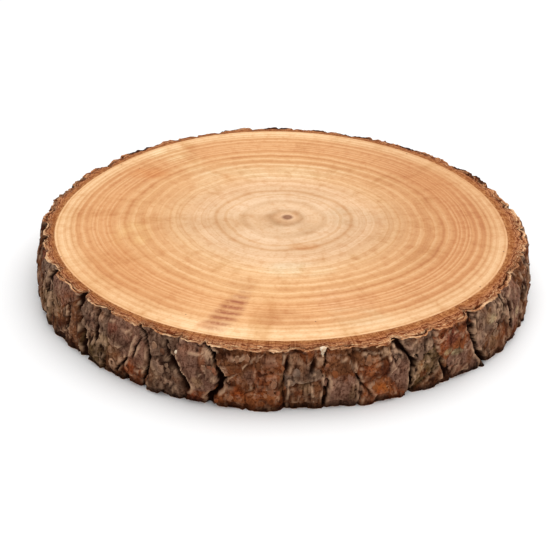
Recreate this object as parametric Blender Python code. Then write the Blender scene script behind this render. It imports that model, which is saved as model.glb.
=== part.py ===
"""A wood slice: a disc sawn across a pine trunk, about 25 cm wide and 3 cm thick, with its bark on.

Both faces are sawn flat. All round, the bark stands in thick plates with deep upright furrows between
them, and each plate is built of thin stepped scales. The trunk widens slightly towards the underside.
Metres, +Z up, origin at the centre of the underside. Azimuths are in degrees anticlockwise from +X,
and the side at -90 degrees is the front.
"""

import math
import random

import bmesh
import bpy
from mathutils import Vector, kdtree, noise

MM = 0.001

# Driving dimensions
WOOD_RADIUS = 0.115
THICKNESS = 0.030
BARK_MEAN = 0.009
GIRTH_STEPS = 320
BARK_ROWS = 12
RIM_ROW = 1.2 * MM
SEED = 41

# The wood's edge is not quite round: waves round the girth, height of each wave, azimuth of its crest
CAMBIUM_WAVES = ((3, 0.91 * MM, -27), (4, 0.42 * MM, 5), (5, 0.41 * MM, -31))

# Azimuth, then how far the bark reaches past WOOD_RADIUS in mm, at the top face and at the underside
BARK_REACH = (
    (-180, 7.6, 11.0),
    (-166, 8.0, 10.4),
    (-150, 6.4, 12.0),
    (-142, 5.8, 11.0),
    (-132, 6.5, 9.8),
    (-120, 6.3, 10.5),
    (-110, 7.6, 11.0),
    (-100, 7.9, 10.4),
    (-90, 8.1, 9.6),
    (-82, 7.8, 8.2),
    (-74, 9.1, 9.4),
    (-60, 9.4, 10.6),
    (-50, 9.6, 12.4),
    (-38, 9.2, 14.6),
    (-24, 9.4, 14.8),
    (-8, 9.8, 13.4),
    (10, 9.2, 12.4),
    (30, 8.9, 11.0),
    (50, 6.8, 9.4),
    (75, 7.0, 9.0),
    (97, 8.2, 9.6),
    (115, 7.2, 9.0),
    (135, 6.2, 9.0),
    (160, 6.5, 10.2),
)

# Furrows between the plates: depth and half width in mm, then (height in mm, azimuth) upwards
FRONT_FURROWS = (
    (3.4, 1.5, ((0, -173), (12, -171), (30, -169))),
    (3.6, 1.5, ((0, -163.5), (12, -164.5), (22, -165.5), (30, -166.5))),
    (2.4, 0.9, ((12, -157.4), (17, -157), (21, -158.2))),
    (4.4, 1.9, ((0, -155.5), (8, -153.2), (14, -154.2), (20, -154), (25, -153.6), (30, -151.6))),
    (2.0, 0.6, ((14, -146.6), (20, -146.9))),
    (2.6, 0.9, ((11, -142.9), (16.5, -142.6))),
    (5.4, 2.1, ((0, -136.5), (5, -136.3), (11, -136.6), (17, -137.5), (22, -139), (27, -139.6),
           (30, -139.2))),
    (2.4, 0.9, ((11, -132.6), (17, -132.2), (28, -132.6))),
    (4.6, 1.0, ((0, -119), (6, -118.5), (12, -117.7), (19, -117.3), (25, -118.6), (30, -120.8))),
    (2.2, 0.6, ((13, -121.9), (19, -121.3), (25, -119.8))),
    (2.8, 0.8, ((4, -126), (8, -124.8), (12, -123.4))),
    (1.8, 1.0, ((19.4, -115.6), (20.8, -113.6))),
    (2.8, 1.6, ((8, -108.5), (12, -109.3), (17, -111.2), (22, -113.2), (27, -113.4))),
    (5.6, 1.3, ((0, -104.3), (5, -103.8), (10, -101.9), (14, -101.5), (18, -101.8), (21, -102.6),
           (27, -103.3), (30, -105.5))),
    (1.5, 1.2, ((18.8, -93.4), (19.6, -91.6))),
    (1.3, 0.7, ((5, -89.6), (14, -89.3), (20, -88.9), (30, -88.4))),
    (3.0, 0.8, ((20, -88.6), (27, -88.4))),
    (4.6, 3.3, ((28.5, -86.4), (30, -86.4))),
    (2.6, 1.4, ((19.5, -83.6), (22, -83.3), (26, -83))),
    (3.8, 1.0, ((2, -80.9), (8, -80.6), (15, -80.5))),
    (1.4, 0.8, ((17, -80.6), (28, -81))),
    (2.6, 0.8, ((4, -71), (8, -72), (11.5, -73.3))),
    (1.3, 0.6, ((12, -73.4), (19, -75.2), (29, -76.3))),
    (4.6, 1.2, ((0, -62.2), (10, -62.4), (18, -62.1), (22, -63.3), (25, -64.8), (30, -65.8))),
    (2.2, 0.9, ((19, -58), (20.5, -61.6))),
    (2.0, 0.6, ((21, -59.2), (29, -59.4))),
    (2.8, 0.9, ((4, -53.8), (9, -54.4), (14, -55.1))),
    (5.4, 1.5, ((0, -41.4), (5, -43.2), (10, -45.1), (16, -46), (22, -46.9), (26, -47.3), (30, -46.4))),
    (2.4, 1.0, ((20, -36.4), (25, -35.6), (30, -35.4))),
    (2.2, 0.9, ((12, -32.2), (20, -32.6), (26, -33))),
    (1.8, 1.6, ((0, -22.5), (8, -25.2), (16, -23.5), (22, -21.5), (30, -19.6))),
    (3.0, 1.3, ((0, -12), (14, -14), (30, -15))),
)

# Furrows behind are known only where they notch the top face's rim
BACK_NOTCHES = (-3, 9, 21, 37, 50, 63, 77, 87, 109, 122, 134, 148, 163, 177)

# Plates on the front: azimuth, height in mm, how far the plate stands out of the others in mm
FRONT_PLATES = (
    (-145, 26, 0.2),
    (-142, 17, -0.4),
    (-146, 6, 0.0),
    (-134, 24, -0.3),
    (-133, 10, 0.1),
    (-125, 25, 0.4),
    (-121, 15, -0.6),
    (-126, 5, 0.3),
    (-122, 5, -0.2),
    (-115, 26, -0.3),
    (-115.5, 11, 0.1),
    (-111, 6, -0.4),
    (-108, 24, 0.3),
    (-106.5, 13, 0.5),
    (-107, 2, -0.2),
    (-100, 24, 0.3),
    (-97, 15, -0.3),
    (-99.5, 5, 0.4),
    (-92, 25, 0.1),
    (-93, 16, 0.5),
    (-93.5, 5, 0.2),
    (-86, 20, -0.2),
    (-83, 27, -0.9),
    (-85, 7, -0.3),
    (-78, 24, 0.2),
    (-77.5, 9, 0.0),
    (-71, 26, -0.3),
    (-70, 17, 0.1),
    (-69, 8, 0.4),
    (-65.5, 14, -0.2),
    (-62, 26, -0.1),
    (-59, 12, -0.8),
    (-52, 22, 0.5),
    (-50, 10, -0.5),
    (-56, 5, -0.4),
    (-40, 23, 0.4),
    (-37, 8, 0.0),
    (-29, 18, 0.1),
    (-26, 6, -0.3),
    (-20, 22, 0.2),
)

FRONT_START = -152
FRONT_END = -16

# Round the back the plates lie in rows at these heights in mm, this many degrees apart
BACK_ROW_HEIGHTS = (7, 21)
BACK_SPACING = (5.5, 8.5)

# The bark stands out a little further halfway up
BELLY = 0.9 * MM

# A furrow wanders sideways, has rounded lips, and is shallower towards the sawn faces; a spot is cut
# only by furrows that start within FURROW_SIGHT degrees of it
FURROW_WANDER = 0.5 * MM
WANDER_FINENESS = 260
FURROW_LIP = 1.6
FURROW_SIGHT = 9
EDGE_HOLD = 0.5
EDGE_HOLD_HEIGHT = 9 * MM

# A crack runs round each plate, along a ragged line, shallower where it lies level; each plate leans
# a little
CRACK_DEPTH = 1.2 * MM
CRACK_HALF_WIDTH = 1.4 * MM
CRACK_LEVEL_SHARE = 0.3
CRACK_LEVEL_GAIN = 1.3
RAGGED = 1.6 * MM
RAGGED_FINENESS = 190
LEAN_ROUND = 0.07
LEAN_UP = 0.09

# Thin scales lie in level steps, with a rough surface
LAYER_STEP = 0.45 * MM
LAYERS = 1.8
LAYER_FINENESS = 110
LAYER_STRETCH = 0.6
ROUGHNESS = 0.3 * MM
ROUGH_FINENESS = 420

# Scales knocked off along the two sawn edges
CHIP_DEPTH = 1.5 * MM
CHIP_HEIGHT = 4 * MM
CHIP_FINENESS = 120

# The inner bark never cracks away from the wood
INNER_BARK = 1.5 * MM

OUTER_RADIUS = WOOD_RADIUS + BARK_MEAN
MIDDLE_OF_BARK = WOOD_RADIUS + BARK_MEAN / 2
GIRTH_PER_DEGREE = math.radians(1) * OUTER_RADIUS
STEP_WIDTH = 360 / GIRTH_STEPS * GIRTH_PER_DEGREE


def clear_scene():
    """Start from an empty scene."""
    for stray in list(bpy.data.objects):
        bpy.data.objects.remove(stray, do_unlink=True)


def smooth(value):
    """Ease from 0 to 1."""
    value = min(max(value, 0.0), 1.0)
    return value * value * (3 - 2 * value)


def turn(azimuth, other):
    """The signed angle from one azimuth to another, within half a turn."""
    return (azimuth - other + 180) % 360 - 180


def between(points, place):
    """Read the second number of the pair of points that a place lies between."""
    for (start, low), (end, high) in zip(points, points[1:]):
        if place <= end:
            share = min(max((place - start) / (end - start), 0.0), 1.0)
            return low + (high - low) * share
    return points[-1][1]


def girth_point(azimuth, height):
    """A spot on the bark as a point on a plain cylinder, for distances along the surface."""
    angle = math.radians(azimuth)
    return Vector((OUTER_RADIUS * math.cos(angle), OUTER_RADIUS * math.sin(angle), height))


def cambium_radius(azimuth):
    """Radius of the wood's edge, where the bark begins."""
    radius = WOOD_RADIUS
    for waves, rise, crest in CAMBIUM_WAVES:
        radius += rise * math.cos(math.radians(waves * (azimuth - crest)))
    return radius


def bark_reach(azimuth, height):
    """How far the plates' outer faces stand beyond WOOD_RADIUS, before any relief."""
    around = turn(azimuth, 0)
    closed = BARK_REACH + ((180, *BARK_REACH[0][1:]),)
    top = between([(place, top) for place, top, _ in closed], around)
    bottom = between([(place, bottom) for place, _, bottom in closed], around)
    share = height / THICKNESS
    return (bottom + (top - bottom) * share ** 1.4) * MM + BELLY * math.sin(math.pi * share)


def back_furrows(rng):
    """Furrows round the back: each starts at its notch in the rim and wanders on its way down."""
    furrows = []
    for notch in BACK_NOTCHES:
        azimuth = notch
        path = []
        for height in (30, 20, 10, 0):
            path.append((height, azimuth))
            azimuth += rng.uniform(-1.6, 1.6)
        furrows.append((rng.uniform(2.6, 4.8), rng.uniform(1.0, 1.9), tuple(reversed(path))))
    return furrows


def back_plates(rng):
    """Plates round the back, in two uneven rows."""
    plates = []
    azimuth = FRONT_END
    while azimuth < FRONT_START + 360:
        for height in BACK_ROW_HEIGHTS:
            place = azimuth + rng.uniform(-2, 2)
            plates.append((place, height + rng.uniform(-4, 4), rng.uniform(-0.8, 0.6)))
        azimuth += rng.uniform(*BACK_SPACING)
    return plates


class Bark:
    """The bark's relief, worked out spot by spot."""

    def __init__(self):
        rng = random.Random(SEED)
        self.furrows = list(FRONT_FURROWS) + back_furrows(rng)
        self.plates = list(FRONT_PLATES) + back_plates(rng)
        self.leans = [
            (rng.uniform(-LEAN_ROUND, LEAN_ROUND), rng.uniform(-LEAN_UP, LEAN_UP)) for _ in self.plates
        ]
        self.tree = kdtree.KDTree(len(self.plates))
        for index, (azimuth, height, _) in enumerate(self.plates):
            self.tree.insert(girth_point(azimuth, height * MM), index)
        self.tree.balance()

    def furrow_cut(self, azimuth, height):
        """Depth taken off by the deepest furrow at this spot."""
        deepest = 0.0
        wander = FURROW_WANDER * noise.noise(girth_point(azimuth, height) * WANDER_FINENESS)
        for depth, half_width, path in self.furrows:
            if abs(turn(azimuth, path[0][1])) > FURROW_SIGHT:
                continue
            across = turn(azimuth, between(path, height / MM)) * GIRTH_PER_DEGREE + wander
            beyond = max(path[0][0] * MM - height, height - path[-1][0] * MM, 0.0)
            reach = FURROW_LIP * max(half_width * MM, STEP_WIDTH)
            deepest = max(deepest, depth * MM * (1 - smooth(math.hypot(across, beyond) / reach)))
        from_edge = min(height, THICKNESS - height)
        return deepest * (1 - EDGE_HOLD * (1 - smooth(from_edge / EDGE_HOLD_HEIGHT)))

    def plate_lift(self, azimuth, height):
        """How far the nearest plate stands out here, and less in the crack round it."""
        spot = girth_point(azimuth, height)
        ragged = spot + noise.noise_vector(spot * RAGGED_FINENESS) * RAGGED
        (centre, index, near), (next_centre, _, far) = self.tree.find_n(ragged, 2)
        plate_azimuth, plate_height, stand = self.plates[index]
        lean_round, lean_up = self.leans[index]
        lift = stand * MM
        lift += lean_round * turn(azimuth, plate_azimuth) * GIRTH_PER_DEGREE
        lift += lean_up * (height - plate_height * MM)
        apart = next_centre - centre
        level = smooth(CRACK_LEVEL_GAIN * abs(apart.z) / apart.length)
        crack = 1 - smooth((far - near) / 2 / CRACK_HALF_WIDTH)
        return lift - CRACK_DEPTH * crack * (1 - (1 - CRACK_LEVEL_SHARE) * level)

    def scale_lift(self, azimuth, height):
        """Thin scales: an uneven surface cut into level steps."""
        spot = girth_point(azimuth, height * LAYER_STRETCH)
        rise = LAYERS * noise.fractal(spot * LAYER_FINENESS, 1.0, 2.0, 2)
        return LAYER_STEP * round(rise) + ROUGHNESS * noise.noise(spot * ROUGH_FINENESS)

    def edge_chip(self, azimuth, height):
        """Depth of the outer scales that broke off along the nearer sawn edge."""
        at_top = height > THICKNESS / 2
        from_edge = THICKNESS - height if at_top else height
        edge = girth_point(azimuth, 3 * THICKNESS if at_top else 0)
        broken = smooth(0.5 + 1.5 * noise.noise(edge * CHIP_FINENESS))
        return CHIP_DEPTH * broken * (1 - smooth((from_edge - CHIP_HEIGHT * broken) / MM))

    def radius(self, azimuth, height):
        """Radius of the bark's surface at an azimuth and a height."""
        radius = WOOD_RADIUS + bark_reach(azimuth, height)
        radius += self.plate_lift(azimuth, height) + self.scale_lift(azimuth, height)
        radius -= self.furrow_cut(azimuth, height) + self.edge_chip(azimuth, height)
        return max(radius, cambium_radius(azimuth) + INNER_BARK)


def turned_disc():
    """Turn a plain disc: a ring marks the wood's edge on both faces, and rows climb the bark."""
    climb = THICKNESS - 2 * RIM_ROW
    side_heights = [0.0]
    side_heights += [RIM_ROW + climb * row / BARK_ROWS for row in range(BARK_ROWS + 1)]
    side_heights.append(THICKNESS)
    profile = [(0.0, 0.0), (WOOD_RADIUS, 0.0)]
    profile += [(OUTER_RADIUS, height) for height in side_heights]
    profile += [(WOOD_RADIUS, THICKNESS), (0.0, THICKNESS)]

    disc = bmesh.new()
    points = [disc.verts.new((radius, 0.0, height)) for radius, height in profile]
    edges = [disc.edges.new(pair) for pair in zip(points, points[1:])]
    bmesh.ops.spin(
        disc,
        geom=points + edges,
        axis=(0, 0, 1),
        cent=(0, 0, 0),
        angle=math.tau,
        steps=GIRTH_STEPS,
        use_merge=True,
    )
    bmesh.ops.remove_doubles(disc, verts=disc.verts, dist=0.00001)
    bmesh.ops.recalc_face_normals(disc, faces=disc.faces)
    return disc


def mark_wood(disc):
    """Give the faces inside the wood's edge the first material, and the bark the second."""
    for face in disc.faces:
        inside = all(vert.co.xy.length < MIDDLE_OF_BARK for vert in face.verts)
        face.material_index = 0 if inside else 1


def grow_bark(disc):
    """Move the turned rings out to the wood's real edge and to the bark's surface."""
    bark = Bark()
    for vert in disc.verts:
        radius = vert.co.xy.length
        if radius < WOOD_RADIUS / 2:
            continue
        azimuth = math.degrees(math.atan2(vert.co.y, vert.co.x))
        if radius < MIDDLE_OF_BARK:
            grown = cambium_radius(azimuth)
        else:
            grown = bark.radius(azimuth, vert.co.z)
        vert.co.xy = vert.co.xy * (grown / radius)


def centre_on_origin(disc):
    """Put the middle of the slice's overall width and depth over the origin."""
    for axis in (0, 1):
        places = [vert.co[axis] for vert in disc.verts]
        middle = (min(places) + max(places)) / 2
        for vert in disc.verts:
            vert.co[axis] -= middle


def plain_material(name, colour, roughness):
    """A material of one colour."""
    material = bpy.data.materials.new(name)
    material.use_nodes = True
    shader = material.node_tree.nodes["Principled BSDF"]
    shader.inputs["Base Color"].default_value = (*colour, 1.0)
    shader.inputs["Roughness"].default_value = roughness
    shader.inputs["Metallic"].default_value = 0.0
    material.diffuse_color = (*colour, 1.0)
    return material


def wood_slice(collection):
    """The whole slice, one solid: wood and bark grew together."""
    disc = turned_disc()
    mark_wood(disc)
    grow_bark(disc)
    centre_on_origin(disc)
    mesh = bpy.data.meshes.new("wood_slice")
    disc.to_mesh(mesh)
    disc.free()
    mesh.materials.append(plain_material("sawn_wood", (0.82, 0.48, 0.24), 0.62))
    mesh.materials.append(plain_material("bark", (0.16, 0.075, 0.045), 0.8))
    slice_object = bpy.data.objects.new("wood_slice", mesh)
    collection.objects.link(slice_object)


def main():
    clear_scene()
    collection = bpy.data.collections.new("wood_slice_parts")
    bpy.context.scene.collection.children.link(collection)
    wood_slice(collection)


main()
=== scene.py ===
import math
import random
import bmesh
import bpy
import numpy as np
from mathutils import Matrix, Vector, kdtree, noise


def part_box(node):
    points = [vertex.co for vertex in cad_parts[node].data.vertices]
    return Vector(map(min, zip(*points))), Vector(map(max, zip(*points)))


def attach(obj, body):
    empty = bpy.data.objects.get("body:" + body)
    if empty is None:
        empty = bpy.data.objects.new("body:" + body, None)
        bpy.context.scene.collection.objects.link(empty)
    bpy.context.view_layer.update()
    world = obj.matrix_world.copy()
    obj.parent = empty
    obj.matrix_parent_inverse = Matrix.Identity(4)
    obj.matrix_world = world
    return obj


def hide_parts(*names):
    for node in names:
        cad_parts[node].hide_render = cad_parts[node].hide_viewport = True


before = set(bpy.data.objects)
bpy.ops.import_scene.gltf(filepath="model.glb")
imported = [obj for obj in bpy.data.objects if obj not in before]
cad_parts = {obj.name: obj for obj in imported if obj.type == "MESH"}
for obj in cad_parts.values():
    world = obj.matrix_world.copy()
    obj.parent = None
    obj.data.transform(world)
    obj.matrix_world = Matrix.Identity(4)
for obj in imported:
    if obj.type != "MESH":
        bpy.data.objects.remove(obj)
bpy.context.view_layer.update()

# The slice lies on a table, seen from the front and about 30 degrees above, through a 70 mm lens.
# Lengths in mm are marked so; all others are in metres. Azimuths are in degrees from +X.
MM = 0.001
lowest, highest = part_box("wood_slice")
THICKNESS = highest[2] - lowest[2]
WOOD_CENTRE = Vector((-0.73 * MM, 0.21 * MM, 0.0))

EYE = Vector((-0.0004, -0.5039, THICKNESS + 0.2589))
EYE_TILT = math.radians(90 - 30.43)
EYE_ROLL = math.radians(1.0)
LENS = 70
FILM_WIDTH = 36

camera_data = bpy.data.cameras.new("camera")
camera_data.lens = LENS
camera_data.sensor_width = FILM_WIDTH
camera = bpy.data.objects.new("camera", camera_data)
camera.matrix_world = (
    Matrix.Translation(EYE + WOOD_CENTRE)
    @ Matrix.Rotation(EYE_TILT, 4, "X")
    @ Matrix.Rotation(EYE_ROLL, 4, "Z")
)
bpy.context.scene.collection.objects.link(camera)
bpy.context.scene.camera = camera
bpy.context.scene.view_settings.view_transform = "Standard"


# The wood: fast-grown pine sawn across the trunk and lightly sanded. Growth rings lie round a small
# brown pith that is a little off the middle, tan inside, orange further out and cream under the bark.
WOOD_RADIUS = 0.115
WOOD_STEPS = 400
CAMBIUM_WAVES = ((3, 0.91 * MM, -27), (4, 0.42 * MM, 5), (5, 0.41 * MM, -31))
PITH = Vector((3.2 * MM, 1.8 * MM, 0.0))
SAME_SPOT = 0.000001

# Each ring's outer edge as a share of the way from the pith to the bark, and how dark its late wood is
RINGS = (
    (0.087, 0.5),
    (0.120, 0.1),
    (0.197, 0.6),
    (0.240, 0.1),
    (0.318, 0.45),
    (0.366, 0.1),
    (0.433, 0.2),
    (0.481, 0.15),
    (0.541, 0.3),
    (0.586, 0.5),
    (0.647, 1.0),
    (0.709, 0.65),
    (0.762, 0.3),
    (0.780, 0.35),
    (0.806, 0.25),
    (0.827, 0.25),
    (0.870, 1.05),
    (0.912, 0.85),
    (0.936, 0.4),
    (0.965, 0.15),
    (1.0, 0.3),
)

# The rings aren't quite even: azimuth, then how much further out they lie, in hundredths of the way
# to the bark, at each of DRIFT_SHARES
DRIFT_SHARES = (0.17, 0.48, 0.66, 0.87)
RING_DRIFT = (
    (0, -0.8, 1.2, 3.0, 0.4),
    (30, -2.4, -0.3, 0.8, 0.4),
    (60, -1.6, -1.6, -0.9, 0.0),
    (90, -2.0, -1.8, -1.0, 0.0),
    (120, -0.4, 0.0, 1.3, 1.2),
    (150, 0.8, 2.0, 2.4, 2.4),
    (180, 2.4, 1.6, 2.0, 2.0),
    (210, 1.6, 0.2, -0.3, -1.0),
    (240, 2.8, 1.2, 0.4, -2.0),
    (270, 1.6, 1.6, 0.6, -1.8),
    (300, -0.4, 1.9, 0.7, -1.4),
    (330, -0.8, 1.2, 3.0, -0.6),
    (360, -0.8, 1.2, 3.0, 0.4),
)


def cambium_radius(azimuth):
    """Radius of the wood's edge, where the bark begins."""
    radius = WOOD_RADIUS
    for waves, rise, crest in CAMBIUM_WAVES:
        radius = radius + rise * np.cos(np.radians(waves * (azimuth - crest)))
    return radius


def ring_place(share, azimuth):
    """How far out a ring really lies at an azimuth, for its even share of the way."""
    places, *columns = zip(*RING_DRIFT)
    drifts = [np.interp(azimuth, places, column) for column in columns]
    return share + np.interp(share, (0.0, *DRIFT_SHARES, 1.0), (0.0, *drifts, 0.0)) / 100


def rolled_sheet(steps, rows):
    """A flat grid to roll up round the trunk, and the column and row of each of its points."""
    sheet = bmesh.new()
    bmesh.ops.create_grid(sheet, x_segments=steps, y_segments=rows, size=1.0)
    places = []
    for vert in sheet.verts:
        column = round((vert.co.x + 1) / 2 * steps) % steps
        places.append((column, round((vert.co.y + 1) / 2 * rows)))
    return sheet, places


def close_up(sheet):
    """Join the rolled sheet's edges where they meet, and turn its faces outwards."""
    bmesh.ops.remove_doubles(sheet, verts=sheet.verts, dist=SAME_SPOT)
    bmesh.ops.recalc_face_normals(sheet, faces=sheet.faces)


def finished_piece(name, shape, material):
    """Make a bmesh an object of the scene that rides on the slice's body."""
    mesh = bpy.data.meshes.new(name)
    shape.to_mesh(mesh)
    shape.free()
    mesh.materials.append(material)
    piece = bpy.data.objects.new(name, mesh)
    bpy.context.scene.collection.objects.link(piece)
    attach(piece, "root")
    return piece


class Shade:
    """A socket of a material's node tree. Arithmetic on it adds Math nodes."""

    def __init__(self, tree, socket=None):
        self.tree = tree
        self.socket = socket

    def add(self, kind, settings=(), inputs=(), output=0):
        """Add a node: its settings, then the values or links of its sockets."""
        node = self.tree.nodes.new(kind)
        for name, value in dict(settings).items():
            if name == "stops":
                self.set_stops(node.color_ramp, value)
            else:
                setattr(node, name, value)
        for name, value in dict(inputs).items():
            self.feed(node.inputs[name], value)
        return Shade(self.tree, node.outputs[output])

    def set_stops(self, ramp, stops):
        """Give a ramp its (place, colour) stops."""
        while len(ramp.elements) < len(stops):
            ramp.elements.new(1.0)
        for element, (place, colour) in zip(ramp.elements, stops):
            element.position = place
            element.color = (*colour, 1.0)

    def feed(self, socket, value):
        """Link a socket to a shade, or set it to a plain value."""
        if isinstance(value, Shade):
            self.tree.links.new(value.socket, socket)
        elif socket.type == "RGBA":
            socket.default_value = (*value, 1.0)
        else:
            socket.default_value = value

    def math(self, operation, *values):
        return self.add("ShaderNodeMath", {"operation": operation}, enumerate(values))

    def __add__(self, other):
        return self.math("ADD", self, other)

    def __radd__(self, other):
        return self.math("ADD", other, self)

    def __sub__(self, other):
        return self.math("SUBTRACT", self, other)

    def __rsub__(self, other):
        return self.math("SUBTRACT", other, self)

    def __mul__(self, other):
        return self.math("MULTIPLY", self, other)

    def __rmul__(self, other):
        return self.math("MULTIPLY", other, self)

    def __truediv__(self, other):
        return self.math("DIVIDE", self, other)

    def fraction(self):
        return self.math("FRACT", self)

    def smaller(self, other):
        return self.math("MINIMUM", self, other)

    def rise(self, low, high):
        """Ease from 0 to 1 as the value goes from low to high."""
        settings = {"interpolation_type": "SMOOTHSTEP"}
        return self.add("ShaderNodeMapRange", settings, {"Value": self, 1: low, 2: high})

    def mix(self, plain, other):
        """Blend from one colour to another by this value."""
        inputs = {0: self, 6: plain, 7: other}
        return self.add("ShaderNodeMix", {"data_type": "RGBA"}, inputs, 2)

    def tint(self, colour, amount=1.0):
        """Multiply this colour by another, by an amount."""
        settings = {"data_type": "RGBA", "blend_type": "MULTIPLY"}
        return self.add("ShaderNodeMix", settings, {0: amount, 6: self, 7: colour}, 2)

    def ramp(self, stops):
        """Read a colour from a row of (place, colour) stops."""
        return self.add("ShaderNodeValToRGB", {"stops": stops}, {0: self})

    def attribute(self, name, output=2):
        """A value stored on the mesh: its number, or its vector at output 1."""
        return self.add("ShaderNodeAttribute", {"attribute_name": name}, output=output)

    def place(self, scale=(1, 1, 1), offset=(0, 0, 0)):
        """Object coordinates, scaled and moved."""
        here = self.add("ShaderNodeTexCoord", output=3)
        return self.add("ShaderNodeMapping", {}, {"Vector": here, "Location": offset, "Scale": scale})

    def along(self, axis):
        """One coordinate of the object's space, in metres."""
        here = self.add("ShaderNodeTexCoord", output=3)
        return self.add("ShaderNodeSeparateXYZ", {}, {0: here}, "XYZ".index(axis))

    def noise(self, scale, detail=3.0, where=None, roughness=0.5):
        """Soft noise from 0 to 1 on the object's coordinates, or at another place."""
        inputs = {"Vector": where or self.place(), "Scale": scale, "Detail": detail, "Roughness": roughness}
        return self.add("ShaderNodeTexNoise", {}, inputs)

    def line_noise(self, value, scale, detail=2.0):
        """Noise along one number."""
        inputs = {"W": value, "Scale": scale, "Detail": detail}
        return self.add("ShaderNodeTexNoise", {"noise_dimensions": "1D"}, inputs)

    def bump(self, height, distance, strength):
        """A normal that follows a height from 0 to 1, over a distance in metres."""
        inputs = {"Height": height, "Distance": distance, "Strength": strength}
        return self.add("ShaderNodeBump", {}, inputs)


def linear(*levels):
    """A colour given in screen levels from 0 to 255, as the shader's own linear numbers."""
    return tuple((level / 255) ** 2.2 for level in levels)


def new_material(name, **constants):
    """A material with its Principled shader, and a start for its expressions."""
    material = bpy.data.materials.new(name)
    material.use_nodes = True
    shader = material.node_tree.nodes["Principled BSDF"]
    for socket, value in constants.items():
        shader.inputs[socket.replace("_", " ")].default_value = value
    return material, shader, Shade(material.node_tree)


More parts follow.
